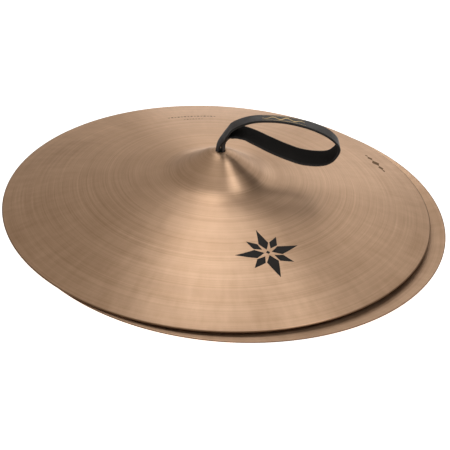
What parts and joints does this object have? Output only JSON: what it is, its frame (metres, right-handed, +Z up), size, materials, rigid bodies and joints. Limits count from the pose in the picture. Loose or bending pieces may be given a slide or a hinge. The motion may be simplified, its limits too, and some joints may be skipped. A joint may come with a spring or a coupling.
{
  "type": "hand cymbals",
  "caption": "Pair of large thin bronze hand cymbals lying face to face, each with a low bow, a small conical bell and a black leather hand loop knotted inside the bell",
  "frame": {"origin": "on the surface that the pair lies on, at the middle of the pair's bounding box", "axes": "+Z up, +X to the right and -Y towards the front, where the lower rim touches the surface; the pair leans 15 degrees towards the front"},
  "size_m": [0.5223, 0.5028, 0.1741],
  "materials": {
    "bronze": "lathed and hammered bronze, satin, with fine concentric grooves",
    "strap_leather": "smooth black strap leather"
  },
  "bodies": {
    "lower_plate": {"lower_cymbal": "bronze"},
    "lower_knot": {"lower_strap_knot": "strap_leather", "lower_tail_1": "strap_leather", "lower_tail_2": "strap_leather", "lower_tail_3": "strap_leather", "lower_tail_4": "strap_leather"},
    "lower_loop": {"lower_strap_loop": "strap_leather"},
    "upper_plate": {"upper_cymbal": "bronze"},
    "upper_knot": {"upper_strap_knot": "strap_leather", "upper_tail_1": "strap_leather", "upper_tail_2": "strap_leather", "upper_tail_3": "strap_leather", "upper_tail_4": "strap_leather"},
    "upper_loop": {"upper_strap_loop": "strap_leather"}
  },
  "joints": [
    {"name": "upper_lift", "type": "slide", "parent": "lower_plate", "child": "upper_plate", "axis": [0.0536, -0.2522, 0.9662], "range_m": [0, 0.3]},
    {"name": "upper_strap_swivel", "type": "hinge", "parent": "upper_plate", "child": "upper_knot", "pos_m": [-0.00422, -0.00997, 0.13047], "axis": [0.0536, -0.2522, 0.9662], "continuous": true},
    {"name": "upper_loop_swing", "type": "hinge", "parent": "upper_knot", "child": "upper_loop", "pos_m": [-0.00399, -0.01103, 0.13453], "axis": [-0.0313, -0.9675, -0.2508], "range_deg": [0, 100]},
    {"name": "lower_strap_swivel", "type": "hinge", "parent": "lower_plate", "child": "lower_knot", "pos_m": [0.00422, 0.00998, 0.00656], "axis": [-0.0536, 0.2522, -0.9662], "continuous": true},
    {"name": "lower_loop_swing", "type": "hinge", "parent": "lower_knot", "child": "lower_loop", "pos_m": [0.004, 0.01104, 0.0025], "axis": [-0.9781, -0.2079, 0], "range_deg": [0, 140]}
  ]
}
